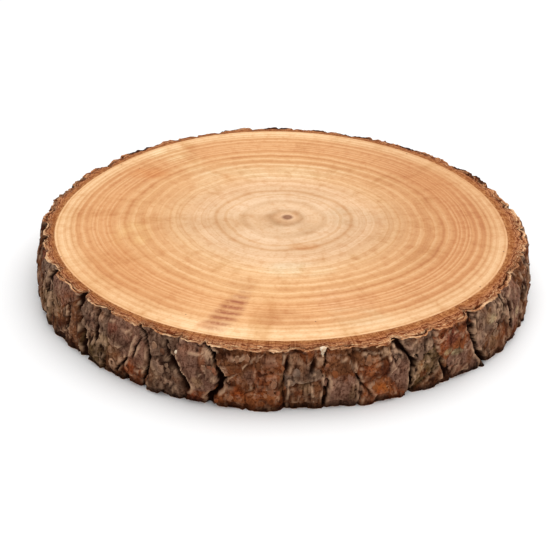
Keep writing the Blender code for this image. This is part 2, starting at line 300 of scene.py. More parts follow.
def sawn_wood_material():
    material, shader, start = new_material("sawn_wood")
    share = start.attribute("share")
    across_x = start.along("X") - WOOD_CENTRE.x
    across_y = start.along("Y") - WOOD_CENTRE.y

    # Each ring darkens slowly outwards and ends in a pale line; weaker rings lie between the main ones
    wander = (start.noise(22, 2) - 0.5) * 0.5 + (start.noise(90, 2) - 0.5) * 0.22
    ring = start.attribute("ring") + wander * share.rise(0.0, 0.3)
    phase = ring.fraction()
    late = phase.rise(0.05, 0.75) * (1 - phase.rise(0.8, 1.0))
    early = 1 - phase.rise(0.0, 0.4)
    between_rings = (ring * 2 + start.noise(30, 1)).fraction().rise(0.2, 0.9)
    patchy = start.noise(17, 2).rise(0.3, 0.7) * 0.8 + 0.35
    in_front = 1 - across_y.rise(-0.07, 0.0)
    on_right = across_x.rise(0.01, 0.08) * (1 - in_front)
    strength = patchy * (0.74 - in_front * 0.06 - on_right * 0.1) * (share.rise(0.1, 0.45) * 0.42 + 0.58)
    late_amount = (late * (start.attribute("late") * 0.7 + 0.45) + between_rings * 0.28) * strength
    fine_bands = start.line_noise(ring, 3.3, 2.0)

    colour = share.ramp(WOOD_COLOURS)
    colour = (early * strength * share.rise(0.4, 0.62) * 0.4).mix(colour, linear(251, 220, 176))
    colour = colour.tint(linear(230, 209, 184), late_amount.smaller(1.2))
    colour = colour.tint(linear(240, 224, 202), fine_bands.rise(0.46, 0.72) * share.rise(0.05, 0.3) * 0.7)

    # Redder and darker on the right, partly the wood's own tone and partly painted shade; paler in
    # front, greyer in the middle, with faint pale rays out from the pith
    colour = colour.tint(linear(238, 229, 221), across_x.rise(0.0, 0.08) * share.rise(0.15, 0.4))
    on_left = 1 - across_x.rise(-0.07, -0.01)
    colour = colour.tint(linear(249, 244, 239), on_left * share.rise(0.2, 0.4))
    colour = colour.tint((1.05, 1.07, 1.09), in_front * share.rise(0.4, 0.55))
    halfway = share.rise(0.14, 0.36) * (1 - share.rise(0.4, 0.62)) * (1 - in_front)
    halfway = halfway * (1 - across_y.rise(0.0, 0.05) * 0.9) * start.noise(30, 2).rise(0.2, 0.6)
    colour = colour.tint(linear(238, 235, 231), halfway)
    clouds = start.noise(15, 4, start.place(scale=(1, 0.8, 1), offset=(0.3, 0.1, 0)))
    colour = colour.tint(linear(240, 224, 204), clouds.rise(0.42, 0.7) * 0.8)
    middle = (1 - share.rise(0.08, 0.42)) * start.noise(38, 3).rise(0.3, 0.66)
    colour = colour.tint(linear(240, 233, 222), middle)
    outwards = start.add("ShaderNodeVectorMath", {"operation": "NORMALIZE"}, {0: start.place(offset=-PITH)})
    rays = start.noise(9, 4, outwards, 0.6) * share.rise(0.1, 0.4)
    colour = rays.rise(0.5, 0.75).mix(colour, colour.tint(linear(238, 226, 206)))
    for middle_x, middle_y, half_x, half_y, patch_colour in WOOD_PATCHES:
        patch_x = (across_x - middle_x * MM) / (half_x * MM)
        patch_y = (across_y - middle_y * MM) / (half_y * MM)
        patch = 1 - (patch_x * patch_x + patch_y * patch_y).rise(0.1, 1.4)
        colour = colour.tint(patch_colour, patch * start.noise(70, 2).rise(0.25, 0.6))
    fibres = start.noise(800, 3)
    colour = colour.tint(linear(232, 212, 190), fibres.rise(0.45, 0.8) * 0.6)
    mottle = start.noise(230, 3)
    colour = colour.tint(linear(240, 224, 206), mottle.rise(0.46, 0.72) * 0.7)

    # A purple-grey stain runs outwards at the front on the left, in five rows of dashes along the rings
    from_x = across_x - STAIN_X
    from_y = across_y - STAIN_Y
    stain_out = (from_x * STAIN_COS + from_y * STAIN_SIN) / STAIN_HALF_LENGTH
    stain_width = stain_out * STAIN_FLARE + STAIN_HALF_WIDTH
    stain_across = (from_x * -STAIN_SIN + from_y * STAIN_COS) / stain_width
    near_stain = 1 - (stain_out * stain_out + stain_across * stain_across).rise(0.05, 1.25)
    near_stain = near_stain * (stain_out.rise(-0.8, -0.2) * 0.7 + 0.3)
    from_pith = start.place(scale=(1, 1, 0), offset=-PITH)
    from_pith = start.add("ShaderNodeVectorMath", {"operation": "LENGTH"}, {0: from_pith}, 1)
    row = (from_pith - FIRST_DASH) / DASH_SPACING + 0.5 + (start.noise(150, 1) - 0.5) * 0.35
    row = row.fraction()
    dashes = row.rise(0.1, 0.4) * (1 - row.rise(0.6, 0.9)) * start.noise(400, 3).rise(0.28, 0.54)
    colour = colour.tint(linear(190, 149, 132), near_stain * (dashes * 0.6 + 0.36))

    # Specks of pitch just inside the bark
    specks = start.add("ShaderNodeTexVoronoi", {}, {"Vector": start.place(), "Scale": 140.0})
    is_speck = (1 - specks.rise(0.03, 0.07)) * share.rise(0.8, 0.9) * start.noise(60, 0).rise(0.5, 0.6)
    colour = colour.tint(linear(110, 70, 40), is_speck)

    surface = late_amount * -0.5 + fibres * 0.35
    start.feed(shader.inputs["Base Color"], colour)
    start.feed(shader.inputs["Roughness"], 0.60 + fibres * 0.12 - late_amount * 0.06)
    start.feed(shader.inputs["Normal"], start.bump(surface, 0.0004, 0.35))
    return material


STAIN_X = -0.0218
STAIN_Y = -0.0885
STAIN_COS = -0.38
STAIN_SIN = -0.925
STAIN_HALF_LENGTH = 24 * MM
STAIN_HALF_WIDTH = 6.6 * MM
STAIN_FLARE = 3.2 * MM
FIRST_DASH = 88.5 * MM
DASH_SPACING = 4.9 * MM

# Soft patches that tint the wood: place and half size in mm, and the colour they tint it with. The
# three whitening ones at the back on the left are painted sheen.
WOOD_PATCHES = (
    (-9, -3, 14, 10, linear(240, 232, 220)),
    (5, -11, 16, 9, linear(240, 236, 230)),
    (-31, -5, 18, 14, linear(249, 243, 233)),
    (36, 4, 14, 12, linear(245, 246, 244)),
    (-6, 58, 48, 11, (1.04, 1.17, 1.32)),
    (-75, 53, 13, 9, linear(246, 226, 200)),
    # Painted sheen: these three whitening patches at the back on the left
    (-66, 80, 14, 12, (1.1, 1.3, 1.5)),
    (-55, 68, 12, 12, (1.08, 1.24, 1.4)),
    (-42, 46, 10, 14, (1.05, 1.15, 1.28)),
    (-76, -21, 11, 15, (1.08, 1.2, 1.22)),
    (11, -30, 9, 4, linear(247, 230, 208)),
    (8, -53, 18, 8, (1.0, 1.16, 1.34)),
    (-17, -68, 10, 7, linear(245, 240, 235)),
    (29, -80, 16, 14, (1.0, 1.0, 1.06)),
    (34, -94, 16, 8, (1.0, 1.14, 1.3)),
    (2, -96, 14, 8, linear(234, 220, 204)),
    (-31, -103, 6, 4, linear(242, 226, 219)),
    (72, -38, 14, 14, linear(249, 245, 239)),
)

# The wood's colour at each share of the way from the pith to the bark
WOOD_COLOURS = (
    (0.0, linear(158, 112, 80)),
    (0.016, linear(150, 102, 70)),
    (0.03, linear(232, 190, 150)),
    (0.045, linear(228, 186, 144)),
    (0.07, linear(212, 171, 129)),
    (0.10, linear(238, 201, 163)),
    (0.14, linear(236, 198, 158)),
    (0.178, linear(226, 187, 146)),
    (0.21, linear(239, 203, 165)),
    (0.30, linear(232, 191, 148)),
    (0.36, linear(241, 202, 161)),
    (0.48, linear(238, 194, 144)),
    (0.56, linear(231, 181, 128)),
    (0.66, linear(231, 180, 125)),
    (0.78, linear(228, 170, 114)),
    (0.90, linear(231, 177, 122)),
    (0.925, linear(235, 187, 134)),
    (0.945, linear(245, 203, 154)),
    (0.994, linear(246, 205, 156)),
    (1.0, linear(236, 186, 136)),
)

shares = [0.0] + [edge for edge, _ in RINGS]
lates = [RINGS[0][1]] + [late for _, late in RINGS]
wood_rows = 2 * len(shares) - 1
wood, places = rolled_sheet(WOOD_STEPS, wood_rows)
share_layer = wood.verts.layers.float.new("share")
ring_layer = wood.verts.layers.float.new("ring")
late_layer = wood.verts.layers.float.new("late")
for vert, (column, row) in zip(wood.verts, places):
    ring_index = min(row, wood_rows - row)
    azimuth = column * 360 / WOOD_STEPS
    edge = Matrix.Rotation(math.radians(azimuth), 3, "Z") @ Vector((cambium_radius(azimuth), 0, 0))
    vert.co = WOOD_CENTRE + PITH.lerp(edge, ring_place(shares[ring_index], azimuth))
    vert.co.z = THICKNESS if row > wood_rows / 2 else 0.0
    vert[share_layer] = shares[ring_index]
    vert[ring_layer] = ring_index
    vert[late_layer] = lates[ring_index]
close_up(wood)
sawn_wood = finished_piece("sawn_wood", wood, sawn_wood_material())
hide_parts("wood_slice")


# The bark: thick plates of thin stepped scales, parted by deep upright furrows. Its cut faces show
# fibrous orange inner bark, torn into layers towards the rim. It grew on the wood and is part of it.
BARK_STEPS = 1200
BARK_MEAN = 9 * MM
OUTER_RADIUS = WOOD_RADIUS + BARK_MEAN
GIRTH_PER_DEGREE = math.radians(1) * OUTER_RADIUS
SEED = 41

# Azimuth, then how far the bark reaches past WOOD_RADIUS in mm, at the top face and at the underside
BARK_REACH = (
    (-180, 7.6, 11.0),
    (-166, 8.0, 10.4),
    (-150, 6.4, 12.0),
    (-142, 5.8, 11.0),
    (-132, 6.5, 9.8),
    (-120, 6.3, 10.5),
    (-110, 7.6, 11.0),
    (-100, 7.9, 10.4),
    (-90, 8.1, 9.6),
    (-82, 7.8, 8.2),
    (-74, 9.1, 9.4),
    (-60, 9.4, 10.6),
    (-50, 9.6, 12.4),
    (-38, 9.2, 14.6),
    (-24, 9.4, 14.8),
    (-8, 9.8, 13.4),
    (10, 9.2, 12.4),
    (30, 8.9, 11.0),
    (50, 6.8, 9.4),
    (75, 7.0, 9.0),
    (97, 8.2, 9.6),
    (115, 7.2, 9.0),
    (135, 6.2, 9.0),
    (160, 6.5, 10.2),
    (180, 7.6, 11.0),
)

# Furrows: depth in mm, then (height in mm, azimuth, half width in mm) from the lower end upwards
FRONT_FURROWS = (
    (3.4, ((0, -173, 1.5), (12, -171, 1.5), (30, -169, 1.4))),
    (3.6, ((0, -163.5, 1.5), (12, -164.5, 1.7), (22, -165.5, 1.8), (30, -166.5, 1.0))),
    (2.4, ((12, -157.4, 0.8), (17, -157, 0.9), (21, -158.2, 1.0))),
    (4.4, ((0, -155.5, 1.6), (8, -153.2, 2.0), (14, -154.2, 1.2), (20, -154, 2.4), (25, -153.6, 2.6),
           (30, -151.6, 1.6))),
    (2.0, ((14, -146.6, 0.5), (20, -146.9, 0.6))),
    (2.6, ((11, -142.9, 0.9), (16.5, -142.6, 0.9))),
    (5.4, ((0, -136.5, 1.8), (5, -136.3, 2.4), (11, -136.6, 2.2), (17, -137.5, 1.5), (22, -139, 2.4),
           (27, -139.6, 2.7), (30, -139.2, 1.4))),
    (2.4, ((11, -132.6, 0.9), (17, -132.2, 1.0), (28, -132.6, 0.7))),
    (4.6, ((0, -119, 1.2), (6, -118.5, 1.0), (12, -117.7, 0.9), (19, -117.3, 0.9), (25, -118.6, 1.0),
           (30, -120.8, 1.1))),
    (2.2, ((13, -121.9, 0.6), (19, -121.3, 0.6), (25, -119.8, 0.6))),
    (2.8, ((4, -126, 1.0), (8, -124.8, 0.9), (12, -123.4, 0.6))),
    (1.8, ((19.4, -115.6, 1.2), (20.8, -113.6, 0.8))),
    (2.8, ((8, -108.5, 1.6), (12, -109.3, 1.9), (17, -111.2, 2.0), (22, -113.2, 1.6),
           (27, -113.4, 0.8))),
    (5.6, ((0, -104.3, 1.7), (5, -103.8, 1.6), (10, -101.9, 1.4), (14, -101.5, 1.8), (18, -101.8, 1.3),
           (21, -102.6, 0.7), (27, -103.3, 0.7), (30, -105.5, 1.1))),
    (1.5, ((18.8, -93.4, 1.0), (19.6, -91.6, 1.4))),
    (1.3, ((5, -89.6, 0.6), (14, -89.3, 0.7), (20, -88.9, 0.6), (30, -88.4, 0.9))),
    (1.7, ((20, -88.6, 0.8), (27, -88.4, 0.9))),
    (2.0, ((19.5, -83.6, 1.2), (22, -83.3, 1.6), (26, -83, 1.3))),
    (3.8, ((2, -80.9, 1.0), (8, -80.6, 1.2), (15, -80.5, 0.9))),
    (1.4, ((17, -80.6, 0.7), (28, -81, 0.9))),
    (2.0, ((4, -71, 0.9), (8, -72, 1.0), (11.5, -73.3, 0.6))),
    (1.3, ((12, -73.4, 0.6), (19, -75.2, 0.5), (29, -76.3, 0.6))),
    (4.6, ((0, -62.2, 0.9), (10, -62.4, 0.8), (18, -62.1, 0.8), (22, -63.3, 0.9), (25, -64.8, 1.7),
           (30, -65.8, 1.9))),
    (2.2, ((19, -58, 0.9), (20.5, -61.6, 0.9))),
    (2.0, ((21, -59.2, 0.6), (29, -59.4, 0.6))),
    (2.8, ((4, -53.8, 1.1), (9, -54.4, 1.0), (14, -55.1, 0.7))),
    (5.4, ((0, -41.4, 1.5), (5, -43.2, 1.6), (10, -45.1, 1.2), (16, -46, 1.1), (22, -46.9, 1.6),
           (26, -47.3, 2.0), (30, -46.4, 1.6))),
    (2.4, ((20, -36.4, 0.7), (25, -35.6, 1.0), (30, -35.4, 1.2))),
    (2.2, ((12, -32.2, 0.7), (20, -32.6, 1.1), (26, -33, 0.9))),
    (1.8, ((0, -22.5, 1.4), (8, -25.2, 1.8), (16, -23.5, 2.2), (22, -21.5, 1.7), (30, -19.6, 1.0))),
    (3.0, ((0, -12, 1.3), (14, -14, 1.4), (30, -15, 1.2))),
)

# Where the rim dips inwards: the same way
RIM_DIP = (4.6, ((28.5, -86.4, 3.2), (30, -86.4, 3.4)))

# Furrows behind are known only where they notch the top face's rim
BACK_NOTCHES = (-3, 9, 21, 37, 50, 63, 77, 87, 109, 122, 134, 148, 163, 177)

# Thin raised edges of scales, pale where they broke: (height in mm, azimuth) upwards
CRESTS = (
    ((9, -102.4), (14, -100.5), (18, -98.6), (23, -96.6), (27, -94.7)),
    ((14, -122.6), (20, -121.9), (25, -120.9)),
    ((9, -107.2), (12, -108.3), (17, -110), (22, -111.3)),
    ((4, -83), (12, -83.4)),
    ((18, -74.8), (24, -75.9)),
    ((22, -67.6), (27, -67.9)),
    ((3, -63.3), (14, -63)),
    ((4, -61.3), (12, -61.2)),
    ((7, -45.9), (15, -47.2)),
    ((1, -88.4), (16, -88.1)),
)

# Plates on the front: azimuth, height in mm, how far it stands out in mm, and its tone
FRONT_PLATES = (
    (-145, 26, 0.2, "mauve"),
    (-142, 17, -0.4, "brown"),
    (-146, 6, 0.0, "brown"),
    (-134, 24, -0.3, "grey"),
    (-133, 10, 0.1, "olive"),
    (-125, 25, 0.4, "mauve"),
    (-121, 15, -0.6, "mauve"),
    (-126, 5, 0.3, "brown"),
    (-122, 5, -0.2, "russet"),
    (-115, 26, -0.3, "grey"),
    (-115.5, 11, 0.1, "grey"),
    (-111, 6, -0.4, "grey"),
    (-108, 24, 0.3, "mauve"),
    (-106.5, 13, 0.5, "mauve"),
    (-107, 2, -0.2, "russet"),
    (-100, 24, 0.3, "brown"),
    (-97, 15, -0.3, "brown"),
    (-99.5, 5, 0.4, "rust"),
    (-92, 25, 0.1, "brown"),
    (-93, 16, 0.5, "russet"),
    (-93.5, 5, 0.2, "rust"),
    (-86, 20, -0.2, "ash"),
    (-83, 27, -0.9, "brown"),
    (-85, 7, -0.3, "brown"),
    (-78, 24, 0.2, "brown"),
    (-77.5, 9, 0.0, "mauve"),
    (-71, 26, -0.3, "brown"),
    (-70, 17, 0.1, "russet"),
    (-69, 8, 0.4, "rust"),
    (-65.5, 14, -0.2, "mauve"),
    (-62, 26, -0.1, "grey"),
    (-59, 12, -0.8, "olive"),
    (-52, 22, 0.5, "russet"),
    (-50, 10, -0.5, "mauve"),
    (-56, 5, -0.4, "brown"),
    (-40, 23, 0.4, "grey"),
    (-37, 8, 0.0, "brown"),
    (-29, 18, 0.1, "mauve"),
    (-26, 6, -0.3, "brown"),
    (-20, 22, 0.2, "brown"),
)

# Smaller patches of another tone: azimuth, height, half width and half height in mm, tone, strength.
# The dark ones are painted shade: in furrows and hollows, under the torn rim and over the left end.
PATCHES = (
    (-169, 15, 20, 24, "painted_shade", 0.5),
    (-164, 18, 6, 8, "painted_shade", 0.6),
    (-158.3, 20, 2, 2, "painted_shade", 0.8),
    (-154, 25, 4.5, 4, "painted_shade", 0.85),
    (-152.5, 8, 3, 4, "painted_shade", 0.8),
    (-165, 15, 14, 18, "brown", 0.6),
    (-159, 12, 10, 12, "brown", 0.6),
    (-162, 27, 4, 3, "red", 0.8),
    (-149, 15, 6, 8, "tan", 0.6),
    (-128, 13, 5, 8, "tan", 0.3),
    (-117, 10, 5, 7, "tan", 0.3),
    (-146, 9, 3, 3, "rust", 0.5),
    (-144, 17, 1.8, 4, "painted_shade", 0.8),
    (-142.5, 12, 1.8, 3, "painted_shade", 0.8),
    (-139.2, 25, 2.8, 5, "painted_shade", 0.85),
    (-138, 15, 2.2, 7, "painted_shade", 0.85),
    (-136.6, 5, 2.4, 6, "painted_shade", 0.85),
    (-134.5, 19, 3.5, 7, "mauve", 0.6),
    (-127.5, 24, 3, 3, "red", 0.6),
    (-125, 17, 5, 5, "grey", 0.4),
    (-121, 4, 4, 3, "rust", 0.4),
    (-112.5, 17, 2.2, 7, "painted_shade", 0.7),
    (-109, 9, 2.2, 3, "painted_shade", 0.6),
    (-117, 9, 2.5, 5, "brown", 0.6),
    (-105.5, 24, 2, 5, "rust", 0.6),
    (-106.5, 12, 3, 3, "tan", 0.6),
    (-107, 2, 3, 2, "red", 0.6),
    (-96, 17, 3, 4, "mauve", 0.6),
    (-100, 10, 3, 3, "brown", 0.5),
    (-98.5, 4, 6, 3, "rust", 0.7),
    (-92, 25, 4, 3, "mauve", 0.5),
    (-92, 1.5, 4, 1.6, "tan", 0.6),
    (-89.5, 14, 1.4, 6, "olive", 0.6),
    (-83.4, 23, 2, 4, "painted_shade", 0.8),
    (-84.5, 12, 3, 4, "olive", 0.5),
    (-86, 9, 2.5, 2, "russet", 0.5),
    (-78, 26, 4, 3, "brown", 0.7),
    (-75, 8, 2, 5, "olive", 0.6),
    (-71, 27, 5, 2.5, "painted_shade", 0.4),
    (-70.5, 17, 3, 7, "rust", 0.7),
    (-69.5, 8, 3.5, 3.5, "orange", 0.9),
    (-68.3, 26, 2.2, 1.8, "tan", 0.7),
    (-69, 1.5, 4, 2.5, "ash", 0.7),
    (-60, 14, 2.4, 3.6, "tan", 0.9),
    (-59, 9, 2, 2, "russet", 0.6),
    (-52.5, 24, 4.5, 4, "red", 0.8),
    (-50.5, 18, 3, 2.5, "rust", 0.6),
    (-53.5, 17, 2.4, 1.8, "crust", 0.8),
    (-51, 14.5, 4, 1.6, "crust", 0.9),
    (-47.5, 10, 2, 8, "brown", 0.7),
    (-41.5, 24, 3.5, 3, "tan", 0.7),
    (-40, 22.5, 3, 2.5, "crust", 0.8),
    (-39, 11, 6, 4, "tan", 0.4),
    (-34, 24, 3, 4, "mauve", 0.7),
    (-29, 15, 2.4, 2.5, "crust", 0.6),
    (-47.2, 25, 2.4, 6, "painted_shade", 0.85),
    (-45.8, 14, 2.0, 6, "painted_shade", 0.8),
    (-44, 5, 2.2, 6, "painted_shade", 0.85),
    (-37, 17, 5, 1.3, "painted_shade", 0.7),
    (-35, 26, 2, 4, "painted_shade", 0.7),
    (-32.5, 21, 1.5, 3, "painted_shade", 0.7),
    (-25.5, 9, 3, 5, "painted_shade", 0.7),
    (-22, 18, 5, 5, "painted_shade", 0.85),
    (-43, 6, 5, 6, "painted_shade", 0.35),
    (-18, 9, 5, 7, "mauve", 0.7),
    (-13, 22, 9, 10, "painted_shade", 0.6),
    (-12, 24, 7, 7, "russet", 0.6),
    (-86.3, 28.7, 3.6, 1.1, "painted_shade", 0.9),
)

# The bark's tones by name; the dark one is painted shade
TONES = {
    "painted_shade": linear(60, 37, 25),
    "olive": linear(98, 76, 50),
    "brown": linear(110, 70, 46),
    "russet": linear(128, 74, 46),
    "red": linear(132, 76, 58),
    "rust": linear(140, 82, 48),
    "orange": linear(154, 90, 46),
    "mauve": linear(124, 90, 74),
    "grey": linear(114, 88, 72),
    "ash": linear(120, 97, 82),
    "tan": linear(156, 122, 90),
    "crust": linear(166, 146, 112),
}
BACK_TONES = ("brown", "russet", "mauve", "brown", "grey", "mauve", "olive", "ash")

# Where the bark is crumbly, with small loose scales and gaps: azimuth, height, half sizes, strength
CRUMBLES = (
    (-157, 15, 5, 10, 0.8),
    (-150, 9, 5, 7, 0.5),
    (-143, 16, 5, 9, 0.7),
    (-134, 18, 5, 11, 0.8),
    (-130.5, 12, 2.5, 12, 0.6),
    (-126.5, 6, 4, 3.5, 0.8),
    (-113, 9, 5, 6, 0.5),
    (-106, 28, 3, 3, 0.7),
    (-84, 10, 4, 6, 0.6),
    (-74, 8, 2.5, 7, 0.7),
    (-69, 26, 3, 2.5, 0.6),
    (-66, 22, 3, 3, 0.7),
    (-62, 12, 2.5, 12, 0.8),
    (-58, 12, 4, 8, 0.6),
    (-53, 8, 5, 6, 0.8),
    (-45.5, 20, 3, 10, 0.8),
    (-42, 6, 3, 6, 0.6),
    (-37, 22, 5, 8, 0.8),
    (-32, 16, 4, 8, 0.7),
    (-28, 10, 4, 6, 0.5),
    (-22, 15, 4, 10, 0.6),
)

# Behind, between the front's two ends, plates stand in two uneven rows and furrows wander down
FRONT_START = -152
FRONT_END = -16
BACK_ROW_HEIGHTS = (7, 21)
BACK_SPACING = (5.5, 8.5)
BACK_STAND = (-0.8, 0.6)
BACK_SHIFT_ROUND = 2
BACK_SHIFT_UP = 4
BACK_FURROW_HEIGHTS = (30, 20, 10, 0)
BACK_FURROW_SHIFT = 1.6
BACK_FURROW_DEPTH = (2.6, 4.8)
BACK_FURROW_HALF_WIDTH = (1.0, 1.9)

BEHIND_FROM = 75
BEHIND_EASE = 10

RIM_ROW = 0.25 * MM
NEXT_ROW = 0.7 * MM
EVEN_ROWS = 52

BELLY = 0.9 * MM
REACH_CURVE = 1.4
FURROW_WANDER = 0.5 * MM
WANDER_FINENESS = 260
FURROW_LIP = 1.6
FURROW_UNEVEN = 0.45
UNEVEN_FINENESS = 420
EDGE_HOLD = 0.5
EDGE_HOLD_HEIGHT = 9 * MM
SHADE_START = 0.12
SHADE_EASE = 0.5
DARK_DEPTH = 4.8

CRACK_DEPTH = 1.0 * MM
CRACK_HALF_WIDTH = 1.0 * MM
CRACK_LEVEL_SHARE = 0.3
CRACK_LEVEL_GAIN = 1.3
RAGGED = 1.6 * MM
RAGGED_FINENESS = 190
LEAN_ROUND = 0.07
LEAN_UP = 0.09

LAYER_STEP = 0.45 * MM
LAYERS = 1.8
LAYER_FINENESS = 110
LAYER_STRETCH = 0.6
ROUGHNESS = 0.3 * MM
ROUGH_FINENESS = 420
ROUGH_BORDER = 3 * MM

CHIP_DEPTH = 1.5 * MM
CHIP_HEIGHT = 4 * MM
CHIP_FINENESS = 120
INNER_BARK = 1.5 * MM

# Finer than the solid: thin upright scales inside each plate, crests, and a fine grain
SCALE_WIDTH = 6 * MM
SCALE_HEIGHT = 10 * MM
SCALE_STEP = 0.28 * MM
SCALE_EDGE = 0.45 * MM
SCALE_RAGGED = 1.3 * MM
SCALE_FINENESS = 430
SCALE_SHIFT = (0.45, 0.3)
CREST_RISE = 0.5 * MM
CREST_HALF_WIDTH = 0.85 * MM
CRUMB_SIZE = 2.3 * MM
CRUMB_STRETCH = 0.42
CRUMB_SHIFT = 0.45
CRUMB_RAGGED = 0.9 * MM
CRUMB_FINENESS = 600
CRUMB_STEP = 0.5 * MM
CRUMB_GAP = 0.7 * MM
CRUMB_GAP_HALF_WIDTH = 0.5 * MM
GRAIN = 0.09 * MM
GRAIN_FINENESS = 1000
PATCH_FULL = 0.55
PATCH_FADE = 0.7


def smooth(value):
    """Ease from 0 to 1."""
    value = np.clip(value, 0.0, 1.0)
    return value * value * (3 - 2 * value)


def turn(azimuth, other):
    """The signed angle from one azimuth to another, within half a turn."""
    return (azimuth - other + 180) % 360 - 180


def girth_points(azimuths, heights):
    """Spots on the bark as points on a plain cylinder, for distances along the surface."""
    angles = np.radians(azimuths)
    return np.stack([OUTER_RADIUS * np.cos(angles), OUTER_RADIUS * np.sin(angles), heights], axis=-1)


def noise_at(points, fineness):
    """Noise from -1 to 1 at each point of an array."""
    values = [noise.noise(Vector(point) * fineness) for point in points.reshape(-1, 3)]
    return np.array(values).reshape(points.shape[:-1])


def layered_noise_at(points, fineness, sizes):
    """Noise of several sizes at each point of an array."""
    values = [noise.fractal(Vector(point) * fineness, 1.0, 2.0, sizes) for point in points.reshape(-1, 3)]
    return np.array(values).reshape(points.shape[:-1])


def shifted(points, fineness, amount):
    """The points, each pushed about by noise."""
    pushes = [noise.noise_vector(Vector(point) * fineness) * amount for point in points.reshape(-1, 3)]
    return points + np.array(pushes).reshape(points.shape)


def nearest_two(points, centres):
    """For each point: its nearest centre, the next nearest, and half the lead of the first."""
    tree = kdtree.KDTree(len(centres))
    for index, centre in enumerate(centres):
        tree.insert(centre, index)
    tree.balance()
    firsts = np.zeros(points.shape[:-1], dtype=int)
    seconds = np.zeros(points.shape[:-1], dtype=int)
    leads = np.zeros(points.shape[:-1])
    for place in np.ndindex(firsts.shape):
        (_, first, near), (_, second, far) = tree.find_n(points[place], 2)
        firsts[place] = first
        seconds[place] = second
        leads[place] = (far - near) / 2
    return firsts, seconds, leads


rng = random.Random(SEED)
noise.seed_set(SEED)
furrows = list(FRONT_FURROWS)
for notch in BACK_NOTCHES:
    azimuth = notch
    path = []
    for height in BACK_FURROW_HEIGHTS:
        path.append((height, azimuth))
        azimuth += rng.uniform(-BACK_FURROW_SHIFT, BACK_FURROW_SHIFT)
    depth = rng.uniform(*BACK_FURROW_DEPTH)
    half_width = rng.uniform(*BACK_FURROW_HALF_WIDTH)
    furrows.append((depth, tuple((*point, half_width) for point in reversed(path))))

plates = [plate[:3] for plate in FRONT_PLATES]
azimuth = FRONT_END
while azimuth < FRONT_START + 360:
    for height in BACK_ROW_HEIGHTS:
        place = azimuth + rng.uniform(-BACK_SHIFT_ROUND, BACK_SHIFT_ROUND)
        height += rng.uniform(-BACK_SHIFT_UP, BACK_SHIFT_UP)
        plates.append((place, height, rng.uniform(*BACK_STAND)))
    azimuth += rng.uniform(*BACK_SPACING)
leans = [(rng.uniform(-LEAN_ROUND, LEAN_ROUND), rng.uniform(-LEAN_UP, LEAN_UP)) for _ in plates]
plate_tones = [TONES[plate[3]] for plate in FRONT_PLATES]
while len(plate_tones) < len(plates):
    plate_tones.append(TONES[rng.choice(BACK_TONES)])

# The side's rows: close together at the two rims, even between
side_rows = [0.0, RIM_ROW]
side_rows += list(np.linspace(NEXT_ROW, THICKNESS - NEXT_ROW, EVEN_ROWS))
side_rows += [THICKNESS - RIM_ROW, THICKNESS]
azimuths = np.arange(BARK_STEPS) * 360 / BARK_STEPS
azimuth_grid, height_grid = np.meshgrid(azimuths, np.array(side_rows), indexing="ij")
spots = girth_points(azimuth_grid, height_grid)
stretched = girth_points(azimuth_grid, height_grid * LAYER_STRETCH)


def on_path(path, column):
    """Read a path's azimuth or half width at every height of the grid."""
    return np.interp(height_grid / MM, [point[0] for point in path], [point[column] for point in path])


def distance_to(path, wander):
    """How far each spot is from a path up the bark."""
    across = turn(azimuth_grid, on_path(path, 1)) * GIRTH_PER_DEGREE + wander
    beyond = np.maximum(path[0][0] * MM - height_grid, height_grid - path[-1][0] * MM)
    return np.hypot(across, np.maximum(beyond, 0))


reach_azimuths = [place for place, _, _ in BARK_REACH]
top_reach = np.interp(turn(azimuth_grid, 0), reach_azimuths, [top for _, top, _ in BARK_REACH])
low_reach = np.interp(turn(azimuth_grid, 0), reach_azimuths, [low for _, _, low in BARK_REACH])
up_share = height_grid / THICKNESS
envelope = (low_reach + (top_reach - low_reach) * up_share ** REACH_CURVE) * MM
envelope += WOOD_RADIUS + BELLY * np.sin(math.pi * up_share)

plate_azimuths = np.array([plate[0] for plate in plates])
plate_heights = np.array([plate[1] * MM for plate in plates])
plate_stands = np.array([plate[2] * MM for plate in plates])
plate_points = girth_points(plate_azimuths, plate_heights)
plate, neighbour, plate_lead = nearest_two(shifted(spots, RAGGED_FINENESS, RAGGED), plate_points)
apart = plate_points[neighbour] - plate_points[plate]
levelness = np.abs(apart[..., 2]) / np.linalg.norm(apart, axis=-1)
lean_round, lean_up = np.array(leans).T
relief = plate_stands[plate]
relief += lean_round[plate] * turn(azimuth_grid, plate_azimuths[plate]) * GIRTH_PER_DEGREE
relief += lean_up[plate] * (height_grid - plate_heights[plate])
crack = 1 - smooth(plate_lead / CRACK_HALF_WIDTH)
relief -= CRACK_DEPTH * crack * (1 - (1 - CRACK_LEVEL_SHARE) * smooth(levelness * CRACK_LEVEL_GAIN))

rough_here = 0.3 + 0.7 * (1 - smooth(plate_lead / ROUGH_BORDER))
relief += LAYER_STEP * np.round(LAYERS * layered_noise_at(stretched, LAYER_FINENESS, 2))
relief += ROUGHNESS * rough_here * noise_at(stretched, ROUGH_FINENESS)

